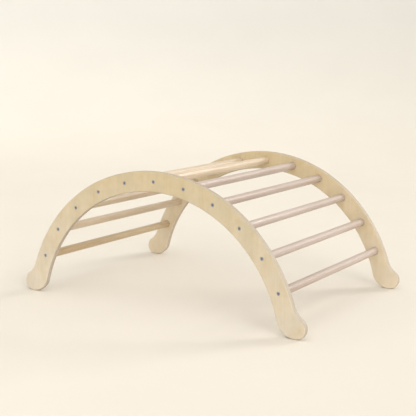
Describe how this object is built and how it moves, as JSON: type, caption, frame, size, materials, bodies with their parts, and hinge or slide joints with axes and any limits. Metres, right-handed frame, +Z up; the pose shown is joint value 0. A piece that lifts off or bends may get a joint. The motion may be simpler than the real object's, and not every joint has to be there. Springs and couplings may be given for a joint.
{
  "type": "climbing arch",
  "caption": "Low wooden climbing arch: two arched plywood side panels with rounded feet, joined by round wooden rungs to climb over or crawl under.",
  "frame": {"origin": "on the floor, under the middle of the arch", "axes": "+X along the arch, +Y from the front panel to the back panel, +Z up"},
  "size_m": [1, 0.692, 0.42],
  "materials": {
    "birch_plywood": "clear matt lacquer",
    "beech": "clear satin lacquer",
    "dark_steel": "dark nickel plated"
  },
  "bodies": {
    "root": {"side_panel_front": "birch_plywood", "side_panel_back": "birch_plywood", "rung_01": "beech", "rung_02": "beech", "rung_03": "beech", "rung_04": "beech", "rung_05": "beech", "rung_06": "beech", "rung_07": "beech", "rung_08": "beech", "rung_09": "beech", "rung_10": "beech", "rung_11": "beech", "screw_front_01": "dark_steel", "screw_front_02": "dark_steel", "screw_front_03": "dark_steel", "screw_front_04": "dark_steel", "screw_front_05": "dark_steel", "screw_front_06": "dark_steel", "screw_front_07": "dark_steel", "screw_front_08": "dark_steel", "screw_front_09": "dark_steel", "screw_front_10": "dark_steel", "screw_front_11": "dark_steel", "screw_back_01": "dark_steel", "screw_back_02": "dark_steel", "screw_back_03": "dark_steel", "screw_back_04": "dark_steel", "screw_back_05": "dark_steel", "screw_back_06": "dark_steel", "screw_back_07": "dark_steel", "screw_back_08": "dark_steel", "screw_back_09": "dark_steel", "screw_back_10": "dark_steel", "screw_back_11": "dark_steel"}
  },
  "joints": []
}
